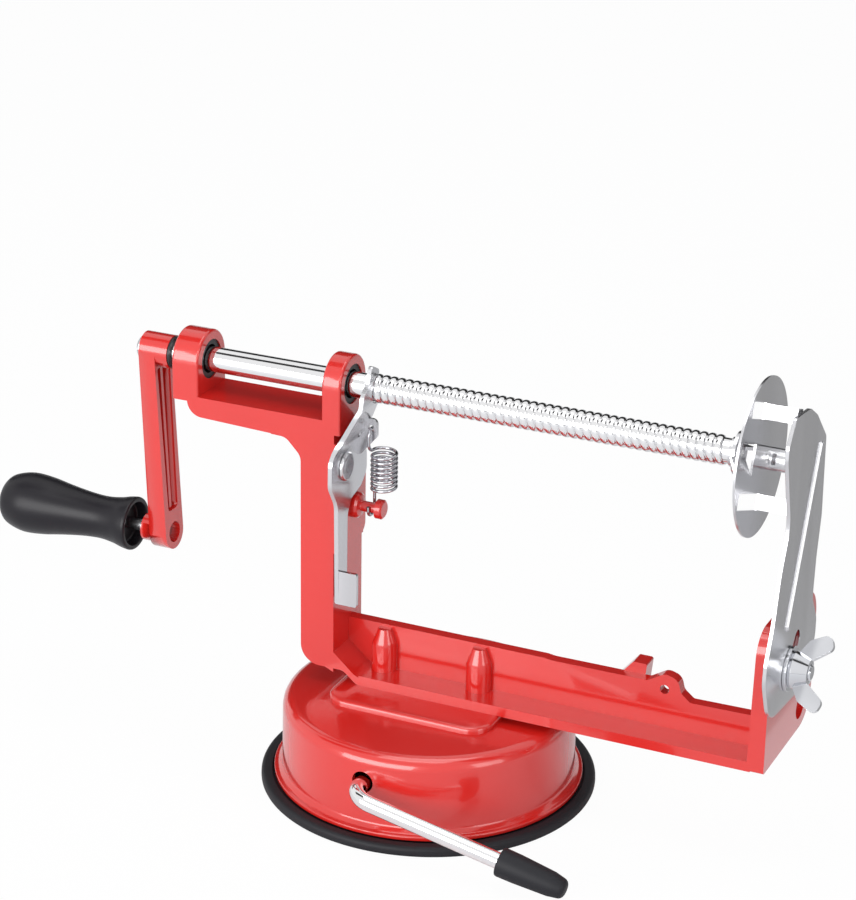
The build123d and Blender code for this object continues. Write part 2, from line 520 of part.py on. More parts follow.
def core_tube():
    """The short steel tube that the potato's core passes through, with windows cut in its side."""
    tube = along_x(CORE_TUBE_R, DISC_X - DISC_T / 2, CORE_TUBE_END_X, 0, 0)
    tube -= along_x(CORE_TUBE_R - 0.6, 110, 140, 0, 0)
    for x in (124.4, 126.6):
        tube -= block(x, x + 1.3, -6, 0, -2.0, 2.0)
    return turned(tube)


def blade_arm():
    """The pressed steel arm: rounded foot with a slot, a long diagonal rib, and the head behind the blade."""
    outline = [(-13.5, 59.0), (24.0, 55.5), (37.0, 70.0), (37.0, 78.0), (30.3, 88.0), (31.5, 104.0), (34.4, 119.0),
               (33.2, 149.3), (20.6, 161.5), (12.3, 166.6), (-3.8, 168.6), (-10.4, 160.0), (-10.6, 155.0),
               (-6.2, 139.5), (-2.6, 128.0), (-9.4, 114.5), (-14.3, 95.0), (-19.8, 83.0), (-20.4, 76.0)]
    radii = [12, 12, 6, 6, 8, 20, 12, 3, 8, 6, 2, 4, 6, 20, 16, 30, 20, 5, 9]
    arm = plate_yz(outline, radii, *ARM_X)
    rib = plate_yz([(26.0, 150.2), (29.4, 148.2), (2.6, 87.0), (-1.4, 88.6)], [1, 1, 1.6, 1.6],
                   ARM_X[1] - 0.4, ARM_X[1] + 1.0)
    arm += chamfer(rib.faces().sort_by(Axis.X)[-1].edges(), 0.7)
    slot = plate_yz([(-3.3, -3.3), (14.5, -3.3), (14.5, 3.3), (-3.3, 3.3)], [3.25] * 4, 130, 142)
    arm -= Pos(0, ARM_BOLT_Y, ARM_BOLT_Z) * (Rot(ARM_SLOT_TURN, 0, 0) * slot)
    return arm


def arm_bolt():
    """The bolt that clamps the blade arm to the end plate; its low round head sits in a spotface."""
    seat = PLATE_TOP_X - 0.5
    head = revolved_x([(seat, 0), (seat, 7.6), (seat - 1.0, 7.4), (seat - 2.6, 5.0), (seat - 3.2, 0)],
                      ARM_BOLT_Y, ARM_BOLT_Z)
    return head + chamfer(along_x(3.0, seat - 0.5, 143.0, ARM_BOLT_Y, ARM_BOLT_Z).faces().sort_by(Axis.X)[-1].edges(),
                          0.5)


def arm_washer():
    """The flat washer under the wing nut."""
    x0 = ARM_X[1] + 0.05
    return along_x(8.2, x0, x0 + 1.2, ARM_BOLT_Y, ARM_BOLT_Z) - along_x(3.2, 130, 140, ARM_BOLT_Y, ARM_BOLT_Z)


def wing_nut():
    """The cast wing nut: a tapered barrel and two wings that splay away from the arm."""
    x0 = ARM_X[1] + 1.3
    barrel = revolved_x([(x0, 0), (x0, 6.6), (x0 + 1.0, 6.8), (x0 + 6.4, 4.6), (x0 + 6.8, 0)], 0, 0)
    nut = barrel
    for side in (1, -1):
        wing = extrude(Plane(origin=(0, -1.3, 0), x_dir=(1, 0, 0), z_dir=(0, 1, 0)) * rounded(
            [(x0 + 0.8, -5.0), (x0 + 5.8, -3.6), (x0 + 13.2, -9.4), (x0 + 11.4, -14.6), (x0 + 4.4, -11.0)],
            [1, 2, 2.4, 2.4, 3]), 2.6)
        nut += Rot(180 * (side < 0), 0, 0) * wing
    nut -= along_x(3.05, x0 - 1, x0 + 9, 0, 0)
    return Pos(0, ARM_BOLT_Y, ARM_BOLT_Z) * (Rot(WING_TURN, 0, 0) * nut)


# ---------------------------------------------------------------- all the pieces
PIECES = {
    "frame": frame,
    "rear_bush": lambda: bush(*REAR_BOSS_X),
    "front_bush": lambda: bush(*FRONT_BOSS_X),
    "base_housing": base_housing,
    "suction_pad": suction_pad,
    "pad_stud": pad_stud,
    "suction_lever": suction_lever,
    "suction_lever_tip": lever_tip,
    "suction_lever_clip": rod_clip,
    "frame_screw_left": lambda: frame_screw(-POST_X),
    "frame_screw_right": lambda: frame_screw(POST_X),
    "screw_shaft": screw_shaft,
    "potato_fork": potato_fork,
    "crank_arm": crank_arm,
    "crank_screw": crank_screw,
    "stop_washer": stop_washer,
    "handle_pin": handle_pin,
    "handle_grip": handle_grip,
    "release_lever": release_lever,
    "release_lever_rivet": lever_rivet,
    "release_spring": release_spring,
    "blade_disc": blade_disc,
    "core_tube": core_tube,
    "blade_arm": blade_arm,
    "arm_bolt": arm_bolt,
    "arm_washer": arm_washer,
    "wing_nut": wing_nut,
}

os.makedirs("parts", exist_ok=True)
for name, make in PIECES.items():
    piece = make()
    piece.label = name
    export_step(piece, f"parts/{name}.step")
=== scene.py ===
# %% [markdown]
# # A tornado potato cutter
#
# The cutter is a red cast frame on a suction base. A chrome shaft with a rounded
# thread runs through it, a crank with a black grip turns the shaft, and a round
# steel blade stands at the far end on a pressed steel arm.
#
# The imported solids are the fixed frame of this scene. Each piece below either gives
# one of them its finish, or is modelled again in more detail in the same place.

# %% Load the frame
import json
import math
import bmesh
import bpy
from mathutils import Matrix, Vector


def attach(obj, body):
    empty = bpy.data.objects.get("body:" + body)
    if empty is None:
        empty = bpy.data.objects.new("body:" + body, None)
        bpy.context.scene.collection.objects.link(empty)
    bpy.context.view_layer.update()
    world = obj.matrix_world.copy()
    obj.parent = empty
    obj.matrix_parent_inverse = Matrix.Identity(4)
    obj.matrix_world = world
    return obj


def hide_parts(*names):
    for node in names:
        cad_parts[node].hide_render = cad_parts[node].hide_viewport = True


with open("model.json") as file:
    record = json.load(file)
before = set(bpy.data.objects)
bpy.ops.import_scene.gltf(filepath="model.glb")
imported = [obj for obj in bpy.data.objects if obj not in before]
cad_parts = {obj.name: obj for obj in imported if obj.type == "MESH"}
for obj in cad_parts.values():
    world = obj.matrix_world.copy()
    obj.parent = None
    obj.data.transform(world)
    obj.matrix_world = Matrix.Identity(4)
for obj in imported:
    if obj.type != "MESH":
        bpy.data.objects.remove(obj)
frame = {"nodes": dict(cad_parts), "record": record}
nodes = frame["nodes"]
body_of_node = {node: body for body, members in frame["record"]["behaviour"]["bodies"].items() for node in members}
slot_of_node = {entry["node"]: entry["material_slot"] for entry in frame["record"]["subparts"]}
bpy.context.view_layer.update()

# %% [markdown]
# ## The camera
#
# The camera stands a little to the right of the cutter and above it, and looks down
# at 22 degrees. A long lens keeps the shaft's lines nearly parallel. Its place comes
# from a fit of the base's rim, the shaft and the casting's edges to the photograph.

# %% The camera
MM = 0.001
VIEW_AZIMUTH = math.radians(24.394)
VIEW_ELEVATION = math.radians(22.12)
VIEW_DISTANCE = 1046.788 * MM
VIEW_ROLL = math.radians(0.858)
VIEW_TARGET = Vector((-6.627, 0, 130.703)) * MM
FOCAL_IN_WIDTHS = 2917.4 / 856

back = Vector((math.sin(VIEW_AZIMUTH) * math.cos(VIEW_ELEVATION),
               -math.cos(VIEW_AZIMUTH) * math.cos(VIEW_ELEVATION), math.sin(VIEW_ELEVATION)))
camera_data = bpy.data.cameras.new("camera")
camera = bpy.data.objects.new("camera", camera_data)
bpy.context.scene.collection.objects.link(camera)
camera.location = VIEW_TARGET + back * VIEW_DISTANCE
level = (-back).to_track_quat("-Z", "Y").to_matrix()
camera.rotation_euler = (Matrix.Rotation(VIEW_ROLL, 3, back) @ level).to_euler()
camera_data.sensor_fit = "HORIZONTAL"
camera_data.sensor_width = 36
camera_data.lens = FOCAL_IN_WIDTHS * 36
camera_data.shift_x = (428 - 417.12) / 856
camera_data.shift_y = (448.19 - 450) / 856
camera_data.clip_end = 50
bpy.context.scene.camera = camera
print("lens in mm:", round(camera_data.lens, 1))

# %% [markdown]
# ## Light and floor
#
# Red enamel and chrome are mostly what they mirror. So the studio is a white room with
# large soft lamps in front, and a few grey boards that only reflections can see. The
# boards behind and above the cutter keep the tops of the enamel deep red and draw the
# dark lines along the chrome. The board at the right and the one that lies low behind
# the blade give the steel its grey.

# %% The room
def node_of(tree, kind, **inputs):
    """Adds a shader node and sets its sockets by name."""
    node = tree.nodes.new(kind)
    for name, value in inputs.items():
        node.inputs[name.replace("_", " ")].default_value = value
    return node


def seen_straight(tree, kinds):
    """A factor that is 1 for the kinds of ray that are named."""
    rays = tree.nodes.new("ShaderNodeLightPath")
    factor = rays.outputs[kinds[0]]
    for kind in kinds[1:]:
        larger = tree.nodes.new("ShaderNodeMath")
        larger.operation = "MAXIMUM"
        tree.links.new(factor, larger.inputs[0])
        tree.links.new(rays.outputs[kind], larger.inputs[1])
        factor = larger.outputs[0]
    return factor


bpy.context.scene.view_settings.view_transform = "Standard"
world = bpy.data.worlds.new("studio")
bpy.context.scene.world = world
world.use_nodes = True
room = world.node_tree
room.nodes.clear()
room_light = node_of(room, "ShaderNodeBackground", Color=(0.94, 0.96, 1.0, 1), Strength=0.5)
room_seen = node_of(room, "ShaderNodeBackground", Color=(1, 1, 1, 1), Strength=1.0)
mix_rooms = room.nodes.new("ShaderNodeMixShader")
room_out = room.nodes.new("ShaderNodeOutputWorld")
room.links.new(seen_straight(room, ["Is Camera Ray", "Is Glossy Ray", "Is Transmission Ray"]), mix_rooms.inputs["Fac"])
room.links.new(room_light.outputs[0], mix_rooms.inputs[1])
room.links.new(room_seen.outputs[0], mix_rooms.inputs[2])
room.links.new(mix_rooms.outputs[0], room_out.inputs["Surface"])
print("view transform:", bpy.context.scene.view_settings.view_transform)

# %% Lamps and boards
CENTRE = (0, 0, 0.1)


def aimed(thing, place, target=CENTRE):
    """Sets a lamp or a board at a place and turns its face to a target, in metres."""
    thing.location = place
    thing.rotation_euler = (Vector(target) - Vector(place)).to_track_quat("-Z", "Y").to_euler()
    bpy.context.scene.collection.objects.link(thing)


def soft_lamp(name, place, size, power):
    """A rectangular area lamp."""
    data = bpy.data.lights.new(name, "AREA")
    data.shape = "RECTANGLE"
    data.size, data.size_y = size
    data.energy = power
    aimed(bpy.data.objects.new(name, data), place)


def board(name, place, size, grey, target=CENTRE):
    """A grey board that nothing sees but reflections."""
    mesh = bpy.data.meshes.new(name)
    bm = bmesh.new()
    bmesh.ops.create_grid(bm, x_segments=1, y_segments=1, size=0.5)
    bmesh.ops.scale(bm, vec=(*size, 1), verts=bm.verts)
    bm.to_mesh(mesh)
    bm.free()
    paint = bpy.data.materials.new(name)
    paint.use_nodes = True
    tree = paint.node_tree
    tree.nodes.clear()
    glow = node_of(tree, "ShaderNodeEmission", Color=(grey, grey, grey, 1), Strength=1.0)
    out = tree.nodes.new("ShaderNodeOutputMaterial")
    tree.links.new(glow.outputs[0], out.inputs["Surface"])
    mesh.materials.append(paint)
    panel = bpy.data.objects.new(name, mesh)
    panel.visible_camera = False
    panel.visible_diffuse = False
    panel.visible_shadow = False
    aimed(panel, place, target)


soft_lamp("front_lamp", (-0.35, -1.35, 0.45), (1.5, 0.8), 19)
soft_lamp("top_lamp", (0.0, -0.1, 1.3), (0.8, 0.8), 5)
soft_lamp("right_lamp", (1.35, -0.5, 0.5), (0.6, 0.8), 4)
board("back_board", (-0.25, 1.5, 0.75), (4.0, 1.1), 0.03)
board("top_board", (0.0, -0.1, 1.7), (4.0, 0.55), 0.05)
board("right_board", (1.8, 0.25, 0.35), (1.9, 2.0), 0.34)
board("low_board", (0.62, 0.62, 0.003), (0.92, 1.14), 0.42, (0.62, 0.62, 1))

# %% The floor
floor_mesh = bpy.data.meshes.new("floor")
bm = bmesh.new()
bmesh.ops.create_grid(bm, x_segments=1, y_segments=1, size=6)
bm.to_mesh(floor_mesh)
bm.free()
floor = bpy.data.objects.new("floor", floor_mesh)
bpy.context.scene.collection.objects.link(floor)

floor_paint = bpy.data.materials.new("pale_floor")
floor_paint.use_nodes = True
tree = floor_paint.node_tree
tree.nodes.clear()
paint = node_of(tree, "ShaderNodeBsdfDiffuse", Color=(0.86, 0.86, 0.86, 1))
glow = node_of(tree, "ShaderNodeEmission", Color=(1, 1, 1, 1), Strength=1.0)
seen = tree.nodes.new("ShaderNodeLightPath")
share = tree.nodes.new("ShaderNodeMath")
share.operation = "MULTIPLY"
share.inputs[1].default_value = 0.96
mix = tree.nodes.new("ShaderNodeMixShader")
out = tree.nodes.new("ShaderNodeOutputMaterial")
tree.links.new(seen.outputs["Is Camera Ray"], share.inputs[0])
tree.links.new(share.outputs[0], mix.inputs["Fac"])
tree.links.new(paint.outputs[0], mix.inputs[1])
tree.links.new(glow.outputs[0], mix.inputs[2])
tree.links.new(mix.outputs[0], out.inputs["Surface"])
floor_mesh.materials.append(floor_paint)
print("floor and lamps are in place")

# %% [markdown]
# ## Finishes
#
# Every finish starts from one Principled shader. What changes over a surface, such as
# the orange peel of enamel or the fine grain of rolled steel, comes from a small node
# group that all of them share, each with its own scale and strength.

# %% A shared group for uneven surfaces
def make_uneven_group():
    """A group that turns a place on the piece into a height and a slow variation."""
    group = bpy.data.node_groups.new("Uneven surface", "ShaderNodeTree")
    for name, kind, start in (("Place", "NodeSocketVector", None), ("Fine scale", "NodeSocketFloat", 900.0),
                              ("Slow scale", "NodeSocketFloat", 40.0)):
        socket = group.interface.new_socket(name, in_out="INPUT", socket_type=kind)
        if start is not None:
            socket.default_value = start
    for name in ("Height", "Variation"):
        group.interface.new_socket(name, in_out="OUTPUT", socket_type="NodeSocketFloat")
    inside, outside = group.nodes.new("NodeGroupInput"), group.nodes.new("NodeGroupOutput")
    fine, slow = group.nodes.new("ShaderNodeTexNoise"), group.nodes.new("ShaderNodeTexNoise")
    fine.inputs["Detail"].default_value = 3
    slow.inputs["Detail"].default_value = 2
    for noise, scale in ((fine, "Fine scale"), (slow, "Slow scale")):
        group.links.new(inside.outputs["Place"], noise.inputs["Vector"])
        group.links.new(inside.outputs[scale], noise.inputs["Scale"])
    group.links.new(fine.outputs["Fac"], outside.inputs["Height"])
    group.links.new(slow.outputs["Fac"], outside.inputs["Variation"])
    return group


uneven = make_uneven_group()


def finish(name, colour, metallic, roughness, spread=0.05, fine=900.0, slow=40.0, bump=0.02, stretch=(1, 1, 1),
           tint=0.06, **sockets):
    """A Principled material with an uneven height, a slow change of colour and a spread of roughness."""
    material = bpy.data.materials.new(name)
    material.use_nodes = True
    tree = material.node_tree
    shader = tree.nodes["Principled BSDF"]
    shader.inputs["Metallic"].default_value = metallic
    for socket, value in sockets.items():
        shader.inputs[socket.replace("_", " ")].default_value = value
    place = tree.nodes.new("ShaderNodeTexCoord")
    along = tree.nodes.new("ShaderNodeMapping")
    along.inputs["Scale"].default_value = stretch
    group = tree.nodes.new("ShaderNodeGroup")
    group.node_tree = uneven
    group.inputs["Fine scale"].default_value = fine
    group.inputs["Slow scale"].default_value = slow
    tree.links.new(place.outputs["Object"], along.inputs["Vector"])
    tree.links.new(along.outputs["Vector"], group.inputs["Place"])
    rough = tree.nodes.new("ShaderNodeMapRange")
    rough.inputs["To Min"].default_value = roughness - spread
    rough.inputs["To Max"].default_value = roughness + spread
    tree.links.new(group.outputs["Variation"], rough.inputs["Value"])
    tree.links.new(rough.outputs["Result"], shader.inputs["Roughness"])
    ramp = tree.nodes.new("ShaderNodeValToRGB")
    ramp.color_ramp.elements[0].position = 0.3
    ramp.color_ramp.elements[1].position = 0.7
    ramp.color_ramp.elements[0].color = (*[c * (1 - tint) for c in colour], 1)
    ramp.color_ramp.elements[1].color = (*[min(1, c * (1 + tint)) for c in colour], 1)
    tree.links.new(group.outputs["Variation"], ramp.inputs["Fac"])
    tree.links.new(ramp.outputs["Color"], shader.inputs["Base Color"])
    relief = tree.nodes.new("ShaderNodeBump")
    relief.inputs["Strength"].default_value = 1.0
    relief.inputs["Distance"].default_value = bump * MM
    tree.links.new(group.outputs["Height"], relief.inputs["Height"])
    tree.links.new(relief.outputs["Normal"], shader.inputs["Normal"])
    return material


# %% The finishes by slot
finishes = {
    "red_enamel": finish("red_enamel", (0.58, 0.014, 0.010), 0, 0.24, 0.03, 300, 18, 0.012, tint=0.03,
                         Coat_Weight=1.0, Coat_Roughness=0.07),
    "black_nylon": finish("black_nylon", (0.016, 0.016, 0.018), 0, 0.42, 0.05, 1500, 60, 0.01),
    "black_rubber": finish("black_rubber", (0.009, 0.009, 0.012), 0, 0.55, 0.06, 900, 50, 0.03,
                           Specular_IOR_Level=0.3),
    "black_grip": finish("black_grip", (0.008, 0.007, 0.010), 0, 0.36, 0.04, 1400, 40, 0.010,
                         Specular_IOR_Level=0.3),
    "chrome": finish("chrome", (0.82, 0.82, 0.83), 1, 0.07, 0.02, 400, 60, 0.001, (0.15, 1, 1), tint=0.02),
    "stainless": finish("stainless", (0.64, 0.64, 0.66), 1, 0.24, 0.04, 700, 60, 0.003, (1, 1, 0.06)),
    "steel": finish("steel", (0.66, 0.66, 0.68), 1, 0.22, 0.05, 900, 80, 0.003),
    "spring_steel": finish("spring_steel", (0.50, 0.50, 0.53), 1, 0.14, 0.03, 900, 80, 0.001),
    "zinc": finish("zinc", (0.66, 0.67, 0.70), 1, 0.12, 0.04, 500, 70, 0.006),
}
for node, piece in nodes.items():
    piece.data.materials.clear()
    piece.data.materials.append(finishes[slot_of_node[node]])
print("finishes:", ", ".join(finishes))

# %% [markdown]
# ## Ways to make a piece
#
# The cutter needs three ways of modelling. What a lathe would turn is a profile spun
# round an axis. What a bender would shape from rod or wire is a circle drawn out along
# a path. What comes from a mould or a press already has its form in the solids, and
# only lacks the soft edges that enamel and tumbling leave.

# %% Turn a list of millimetre points into a finished piece
def add_piece(name, bm, node, sharp=40):
    """Makes a finished piece from a bmesh in millimetres, in the place of a node of the frame."""
    bmesh.ops.remove_doubles(bm, verts=bm.verts, dist=0.0005)
    bmesh.ops.recalc_face_normals(bm, faces=bm.faces)
    bmesh.ops.scale(bm, vec=(MM, MM, MM), verts=bm.verts)
    mesh = bpy.data.meshes.new(name)
    bm.to_mesh(mesh)
    bm.free()
    mesh.materials.append(finishes[slot_of_node[node]])
    mesh.shade_smooth()
    mesh.set_sharp_from_angle(angle=math.radians(sharp))
    piece = bpy.data.objects.new(name, mesh)
    bpy.context.scene.collection.objects.link(piece)
    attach(piece, body_of_node[node])
    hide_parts(node)
    print(name, "has", len(mesh.polygons), "faces")
    return piece


def rounded_corner(last, here, after, radius, steps):
    """Points of the arc that rounds the corner at here, between the points before and after it."""
    back_on, onward = (last - here).normalized(), (after - here).normalized()
    half = back_on.angle(onward) / 2
    middle = here + (back_on + onward).normalized() * radius / math.sin(half)
    first = here + back_on * radius / math.tan(half) - middle
    swing = math.pi - 2 * half
    axis = first.cross(-back_on)
    return [middle + Matrix.Rotation(swing * step / steps, 3, axis) @ first for step in range(steps + 1)]


def with_corners_rounded(points, steps=5):
    """Replaces each corner that comes with a radius by an arc, in a profile of (along, radius) points."""
    flat = [Vector((*point[:2], 0)) for point in points]
    path = [flat[0]]
    for i in range(1, len(points) - 1):
        if len(points[i]) > 2:
            path += rounded_corner(flat[i - 1], flat[i], flat[i + 1], points[i][2], steps)
        else:
            path.append(flat[i])
    return [point[:2] for point in path + [flat[-1]]]


def spin_profile(bm, points, axis, centre=(0, 0, 0), steps=96):
    """Spins a profile of (along, radius) points round an axis through a centre."""
    axis = Vector(axis)
    outward = axis.orthogonal().normalized()
    verts = [bm.verts.new(Vector(centre) + axis * along + outward * radius) for along, radius in points]
    edges = [bm.edges.new(pair) for pair in zip(verts, verts[1:])]
    bmesh.ops.spin(bm, geom=verts + edges, cent=centre, axis=axis, dvec=(0, 0, 0), angle=math.tau, steps=steps,
                   use_merge=True)


def draw_out(bm, path, radius, sides=16):
    """Draws a circle out along a path into a round bar, turning it as little as it can on the way."""
    path = [Vector(point) for point in path]
    heading = (path[1] - path[0]).normalized()
    place = Matrix.Translation(path[0]) @ heading.to_track_quat("Z", "Y").to_matrix().to_4x4()
    circle = bmesh.ops.create_circle(bm, cap_ends=True, segments=sides, radius=radius, matrix=place)["verts"]
    ring = list({edge for vert in circle for edge in vert.link_edges})
    for last, here, after in zip(path, path[1:], path[2:] + [path[-1] * 2 - path[-2]]):
        turned = ((here - last).normalized() + (after - here).normalized()).normalized()
        step = (Matrix.Translation(here) @ heading.rotation_difference(turned).to_matrix().to_4x4()
                @ Matrix.Translation(-last))
        drawn = bmesh.ops.extrude_edge_only(bm, edges=ring)["geom"]
        bmesh.ops.transform(bm, matrix=step, verts=[v for v in drawn if isinstance(v, bmesh.types.BMVert)])
        ring = [e for e in drawn if isinstance(e, bmesh.types.BMEdge) and e.is_boundary]
        heading = turned
    bmesh.ops.contextual_create(bm, geom=ring)


# %% A helper that eases a solid's edges
def eased(node, width, segments=2, angle=28):
    """A copy of a solid, its sharp edges rounded by a bevel of a width in millimetres, its flat faces kept flat."""
    bm = bmesh.new()
    bm.from_mesh(nodes[node].data)
    bmesh.ops.scale(bm, vec=(1 / MM,) * 3, verts=bm.verts)
    bmesh.ops.remove_doubles(bm, verts=bm.verts, dist=0.002)
    bmesh.ops.dissolve_limit(bm, angle_limit=math.radians(0.6), verts=bm.verts, edges=bm.edges)
    edges = [edge for edge in bm.edges if edge.is_manifold and edge.calc_face_angle(0) > math.radians(angle)]
    bmesh.ops.bevel(bm, geom=edges, offset=width, offset_type="OFFSET", segments=segments, profile=0.5,
                    affect="EDGES", clamp_overlap=True, material=-1)
    piece = add_piece(node + "_eased", bm, node)
    flatter = piece.modifiers.new("flat faces stay flat", "WEIGHTED_NORMAL")
    flatter.keep_sharp = True
    flatter.weight = 100
    return piece


# %% [markdown]
# ## The casting, the crank and the pressed steel
#
# Frame and crank are die castings: their edges come round from the mould and enamel
# fills them further. The lever, the blade and its arm are sheared from sheet and
# tumbled, so their edges are only just broken. Each solid is copied, its triangles are
# merged back into flat faces, and its sharp edges get a bevel of that size.

# %% Ease the castings and the sheet metal
EASED = {"frame": (1.0, 4), "crank_arm": (0.7, 3), "release_lever": (0.2, 2), "blade_disc": (0.12, 1),
         "blade_arm": (0.2, 2), "wing_nut": (0.5, 3), "arm_washer": (0.2, 2), "core_tube": (0.1, 1)}
for node, (width, segments) in EASED.items():
    eased(node, width, segments)

# %% [markdown]
# ## The screw shaft
#
# The shaft is plain between the crank and the front boss and has a rounded thread from
# there on. A thread is a profile that moves along while it turns, which is what spin
# does with a dvec: one pitch of the ridge is spun 45 times round, and each turn lands
# beside the last. The ridge fades in and out over half a turn at its two ends, as a
# die leaves it.

# %% The thread
SHAFT_Z = 151.0
PITCH = 3.0
CREST_R, ROOT_R = 5.3, 4.55
PLAIN_R = 4.7
THREAD_START_X = -25.9
THREAD_TURNS = 44.6
STEPS_PER_TURN = 40
RIDGE_SPANS = 8


def fade(turns):
    """0 at the ends of the thread and 1 along it."""
    near_end = min(turns, THREAD_TURNS - turns) / 0.5
    return min(1.0, max(0.0, near_end)) ** 0.5


def add_thread(bm):
    """Spins one pitch of the rounded ridge into the whole thread."""
    ridge = []
    for i in range(RIDGE_SPANS + 1):
        across = 2 * i / RIDGE_SPANS - 1
        radius = ROOT_R + (CREST_R - ROOT_R) * (1 - across * across) ** 0.6
        ridge.append(bm.verts.new((THREAD_START_X + PITCH * i / RIDGE_SPANS, -radius, SHAFT_Z)))
    edges = [bm.edges.new(pair) for pair in zip(ridge, ridge[1:])]
    steps = round(THREAD_TURNS * STEPS_PER_TURN)
    bmesh.ops.spin(bm, geom=ridge + edges, cent=(0, 0, SHAFT_Z), axis=(1, 0, 0),
                   dvec=(PITCH / STEPS_PER_TURN, 0, 0), angle=math.tau * THREAD_TURNS, steps=steps)
    for vert in bm.verts:
        flat = Vector((0, vert.co.y, vert.co.z - SHAFT_Z))
        part_turn = (math.atan2(flat.z, flat.y) / math.tau - 0.5) % 1.0
        whole = math.floor((vert.co.x - THREAD_START_X) / PITCH - part_turn + 1e-4)
        radius = ROOT_R - 0.1 + (flat.length - ROOT_R + 0.1) * fade(whole + part_turn)
        vert.co.y, vert.co.z = flat.y * radius / flat.length, SHAFT_Z + flat.z * radius / flat.length


bm = bmesh.new()
add_thread(bm)
spin_profile(bm, with_corners_rounded([(-114.8, 0), (-114.8, PLAIN_R, 0.3), (-26.4, PLAIN_R), (-25.0, ROOT_R - 0.06),
                                       (111.2, ROOT_R - 0.06), (111.3, 3.4), (114.3, 3.4, 0.3), (114.3, 0)]),
             (1, 0, 0), (0, 0, SHAFT_Z), 64)
add_piece("threaded_shaft", bm, "screw_shaft", 60)

# %% [markdown]
# ## The suction base
#
# The drum is a turned form with a rounded rim, a foot that swings out to a thin flange,
# and an oblong raised pad on top where the frame is screwed down. The hole for the
# lever's rod is wider than the rod, and it is cut with a Boolean, since the wall
# around it is curved.

# %% The drum
DRUM_R, DRUM_TOP_Z, PAD_TOP_Z = 54.6, 34.3, 36.8
ROD_X, ROD_Z, ROD_R = -1.5, 22.5, 3.0
ROD_HOLE_R, ROD_HOLE_Z = 4.1, ROD_Z + 0.5


def cut(piece, make_cutter):
    """Cuts a piece with the form that a function adds to a bmesh."""
    bm = bmesh.new()
    make_cutter(bm)
    bmesh.ops.recalc_face_normals(bm, faces=bm.faces)
    bmesh.ops.scale(bm, vec=(MM, MM, MM), verts=bm.verts)
    mesh = bpy.data.meshes.new("cutter")
    bm.to_mesh(mesh)
    bm.free()
    cutter = bpy.data.objects.new("cutter", mesh)
    bpy.context.scene.collection.objects.link(cutter)
    modifier = piece.modifiers.new("cut", "BOOLEAN")
    modifier.object = cutter
    modifier.solver = "EXACT"
    solid = bpy.data.meshes.new_from_object(piece.evaluated_get(bpy.context.evaluated_depsgraph_get()))
    piece.modifiers.remove(modifier)
    piece.data = solid
    bpy.data.objects.remove(cutter)
    solid.shade_smooth()
    solid.set_sharp_from_angle(angle=math.radians(40))


def add_oblong(bm, length, width, corner, low_z, high_z, edge):
    """A block with round corners and an eased top rim."""
    base = bmesh.ops.create_cube(bm, size=1, matrix=Matrix.Translation((0, 0, (low_z + high_z) / 2))
                                 @ Matrix.Diagonal((length, width, high_z - low_z, 1)))["verts"]
    upright = [e for e in {e for v in base for e in v.link_edges} if abs(e.verts[0].co.z - e.verts[1].co.z) > 0.1]
    bmesh.ops.bevel(bm, geom=upright, offset=corner, offset_type="OFFSET", segments=8, profile=0.5, affect="EDGES",
                    clamp_overlap=True, material=-1)
    rim = [e for e in bm.edges if all(v.co.z > high_z - 0.01 for v in e.verts) and len(e.link_faces) == 2
           and e.calc_face_angle(0) > 1]
    bmesh.ops.bevel(bm, geom=rim, offset=edge, offset_type="OFFSET", segments=4, profile=0.5, affect="EDGES",
                    clamp_overlap=True, material=-1)


bm = bmesh.new()
add_oblong(bm, 65, 50, 9, DRUM_TOP_Z - 1, PAD_TOP_Z, 1.4)
spin_profile(bm, with_corners_rounded([
    (DRUM_TOP_Z, 0), (DRUM_TOP_Z, DRUM_R - 0.3, 4.8), (7.5, DRUM_R, 1.6), (5.9, DRUM_R + 1.6, 1.2), (5.6, 57.6, 0.5),
    (4.05, 57.6, 0.3), (4.05, 52.0), (29, 52.0, 3), (31.7, 48.0), (31.7, 0)]), (0, 0, 1), (0, 0, 0), 160)
drum = add_piece("suction_drum", bm, "base_housing")
cut(drum, lambda bm: draw_out(bm, [(ROD_X, -70, ROD_HOLE_Z), (ROD_X, -40, ROD_HOLE_Z)], ROD_HOLE_R, 32))
print("the drum has", len(drum.data.polygons), "faces")

# %% The rubber pad
bm = bmesh.new()
spin_profile(bm, with_corners_rounded([(0, 0), (0, 62.5, 1.3), (4.0, 62.4, 1.7), (4.0, 58.4, 0.6), (3.3, 57.9, 0.3),
                                       (3.3, 48.0), (2.4, 46.0), (2.4, 15.0), (6.0, 13.0, 0.8), (6.0, 0)]),
             (0, 0, 1), (0, 0, 0), 160)
add_piece("rubber_pad", bm, "suction_pad")

# %% [markdown]
# ## The suction lever
#
# The lever is one chrome rod, bent where it leaves the drum, with a rubber sleeve over
# its free end. The bend is an arc between two straight runs, so the path holds just
# those three parts. The cam that lifts the pad sits on the rod inside the drum.

# %% The rod
ROD_BEND_Y, ROD_BEND_R, ROD_REACH = -64.5, 8.0, 83.0
ROD_SLOPE = math.radians(11.5)
rod_out = Vector((math.cos(ROD_SLOPE), 0, -math.sin(ROD_SLOPE)))
rod_corner = Vector((ROD_X, ROD_BEND_Y, ROD_Z))
rod_end = rod_corner + rod_out * ROD_REACH

